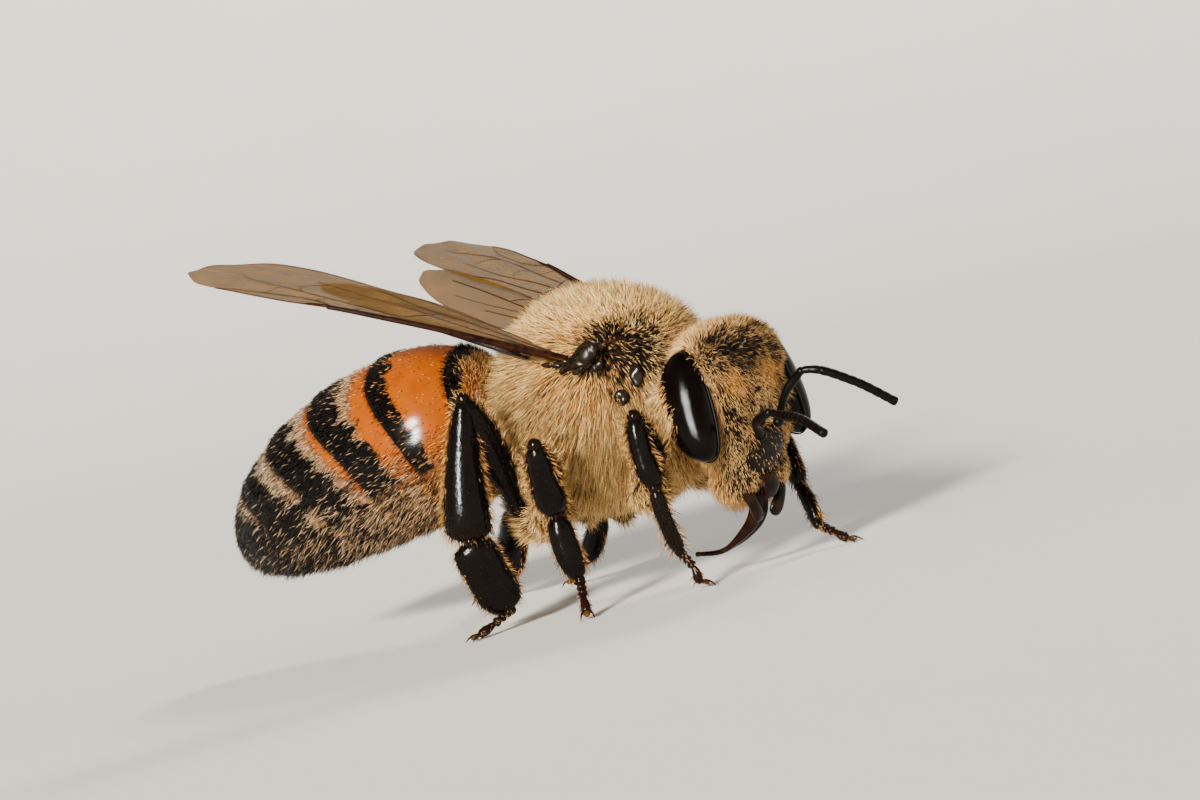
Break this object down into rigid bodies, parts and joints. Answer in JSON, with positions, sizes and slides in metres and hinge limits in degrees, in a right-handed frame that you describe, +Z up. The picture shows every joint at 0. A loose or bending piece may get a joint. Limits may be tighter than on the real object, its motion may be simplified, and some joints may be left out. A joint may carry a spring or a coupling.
{
  "type": "honey bee",
  "caption": "Life-size honey bee worker standing still on its feet, with raised wings, bent feelers and a lowered tongue.",
  "frame": {"origin": "the ground point under the middle of the bounding box", "axes": "+X the way the bee faces, +Y its left side, +Z up"},
  "size_m": [0.0162, 0.0116, 0.0093],
  "materials": {
    "thorax_coat": "dark shell under a dense golden tan coat of hair",
    "head_coat": "dark shell under short tan and grey hair",
    "tergite_orange": "shiny amber orange plate with a black rear band and short hair",
    "tergite_dark": "near black plate with a pale hair band at its base",
    "waist": "dark brown shell",
    "eye": "glossy black brown with fine facets",
    "mouthparts": "glossy dark red brown shell",
    "feeler": "matte black shell with fine rings",
    "leg": "glossy black shell with a golden fringe",
    "foot": "glossy red brown shell",
    "wing": "clear amber brown film with dark brown veins",
    "wing_base": "glossy dark brown shell"
  },
  "bodies": {
    "root": {"thorax": "thorax_coat", "head": "head_coat", "petiole": "waist", "abdomen_1": "tergite_orange", "abdomen_2": "tergite_orange", "abdomen_3": "tergite_orange", "abdomen_4": "tergite_dark", "abdomen_5": "tergite_dark", "abdomen_6": "tergite_dark", "eye_left": "eye", "mandible_left": "mouthparts", "scape_left": "feeler", "flagellum_left": "feeler", "tegula_left": "wing_base", "forewing_left": "wing", "hindwing_left": "wing", "eye_right": "eye", "mandible_right": "mouthparts", "scape_right": "feeler", "flagellum_right": "feeler", "tegula_right": "wing_base", "forewing_right": "wing", "hindwing_right": "wing", "proboscis": "mouthparts", "fore_left_coxa": "leg", "fore_left_femur": "leg", "fore_left_tibia": "leg", "fore_left_basitarsus": "leg", "fore_left_tarsus": "foot", "fore_right_coxa": "leg", "fore_right_femur": "leg", "fore_right_tibia": "leg", "fore_right_basitarsus": "leg", "fore_right_tarsus": "foot", "mid_left_coxa": "leg", "mid_left_femur": "leg", "mid_left_tibia": "leg", "mid_left_basitarsus": "leg", "mid_left_tarsus": "foot", "mid_right_coxa": "leg", "mid_right_femur": "leg", "mid_right_tibia": "leg", "mid_right_basitarsus": "leg", "mid_right_tarsus": "foot", "hind_left_coxa": "leg", "hind_left_femur": "leg", "hind_left_tibia": "leg", "hind_left_basitarsus": "leg", "hind_left_tarsus": "foot", "hind_right_coxa": "leg", "hind_right_femur": "leg", "hind_right_tibia": "leg", "hind_right_basitarsus": "leg", "hind_right_tarsus": "foot"}
  },
  "joints": []
}
